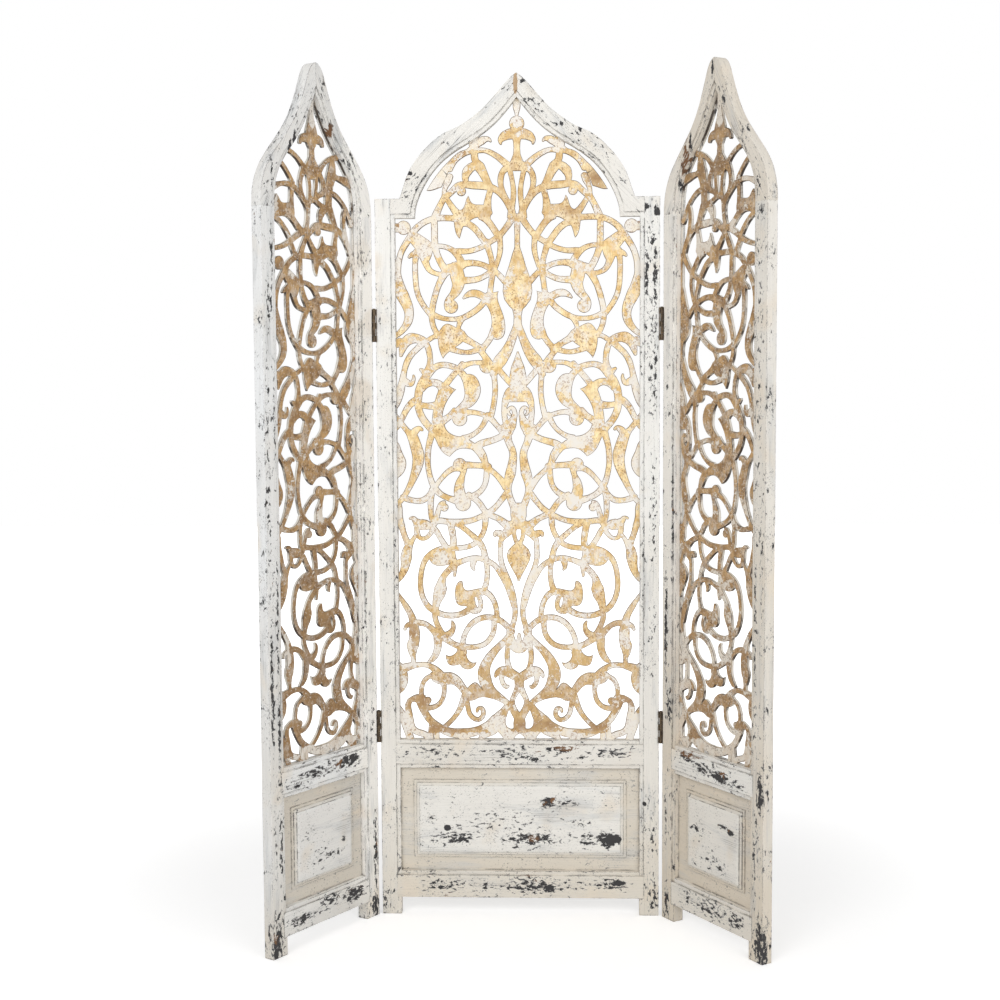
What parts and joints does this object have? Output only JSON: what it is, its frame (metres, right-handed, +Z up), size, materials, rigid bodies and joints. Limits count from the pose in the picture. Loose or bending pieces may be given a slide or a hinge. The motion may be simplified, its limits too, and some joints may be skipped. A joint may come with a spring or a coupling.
{
  "type": "folding room divider",
  "caption": "Free-standing folding room divider with arched panels of pierced arabesque fretwork in a painted wooden frame, hinged so that the side panels fold.",
  "frame": {"origin": "on the floor, in the middle of the space that the standing screen takes up", "axes": "+Z up, +Y from the front of the centre panel to its back, +X to the right seen from the front"},
  "size_m": [1.0334, 0.3116, 1.83],
  "materials": {
    "painted_wood": "distressed off-white paint",
    "gilded_wood": "worn gold wash over white paint",
    "hinge_bronze": "dark aged bronze",
    "screw_steel": "dull steel",
    "bare_wood": "bare beech"
  },
  "bodies": {
    "centre_panel": {"centre_left_stile": "painted_wood", "centre_left_arch": "painted_wood", "centre_right_stile": "painted_wood", "centre_right_arch": "painted_wood", "centre_bottom_rail": "painted_wood", "centre_lock_rail": "painted_wood", "centre_fretwork": "gilded_wood", "centre_base_panel": "painted_wood", "centre_arch_dowels": "bare_wood", "centre_apex_spline": "bare_wood", "centre_hinge_screws": "screw_steel", "left_lower_hinge_fixed_leaf": "hinge_bronze", "left_lower_hinge_pin": "hinge_bronze", "left_upper_hinge_fixed_leaf": "hinge_bronze", "left_upper_hinge_pin": "hinge_bronze", "right_lower_hinge_fixed_leaf": "hinge_bronze", "right_lower_hinge_pin": "hinge_bronze", "right_upper_hinge_fixed_leaf": "hinge_bronze", "right_upper_hinge_pin": "hinge_bronze"},
    "left_panel": {"left_outer_stile": "painted_wood", "left_outer_arch": "painted_wood", "left_inner_stile": "painted_wood", "left_inner_arch": "painted_wood", "left_bottom_rail": "painted_wood", "left_lock_rail": "painted_wood", "left_fretwork": "gilded_wood", "left_base_panel": "painted_wood", "left_arch_dowels": "bare_wood", "left_apex_spline": "bare_wood", "left_hinge_screws": "screw_steel", "left_lower_hinge_moving_leaf": "hinge_bronze", "left_upper_hinge_moving_leaf": "hinge_bronze"},
    "right_panel": {"right_outer_stile": "painted_wood", "right_outer_arch": "painted_wood", "right_inner_stile": "painted_wood", "right_inner_arch": "painted_wood", "right_bottom_rail": "painted_wood", "right_lock_rail": "painted_wood", "right_fretwork": "gilded_wood", "right_base_panel": "painted_wood", "right_arch_dowels": "bare_wood", "right_apex_spline": "bare_wood", "right_hinge_screws": "screw_steel", "right_lower_hinge_moving_leaf": "hinge_bronze", "right_upper_hinge_moving_leaf": "hinge_bronze"}
  },
  "joints": [
    {"name": "left_fold", "type": "hinge", "parent": "centre_panel", "child": "left_panel", "pos_m": [-0.309, 0.12957, 0.86], "axis": [0, 0, 1], "range_deg": [-67, 123]},
    {"name": "right_fold", "type": "hinge", "parent": "centre_panel", "child": "right_panel", "pos_m": [0.309, 0.12957, 0.86], "axis": [0, 0, -1], "range_deg": [-67, 115]}
  ]
}
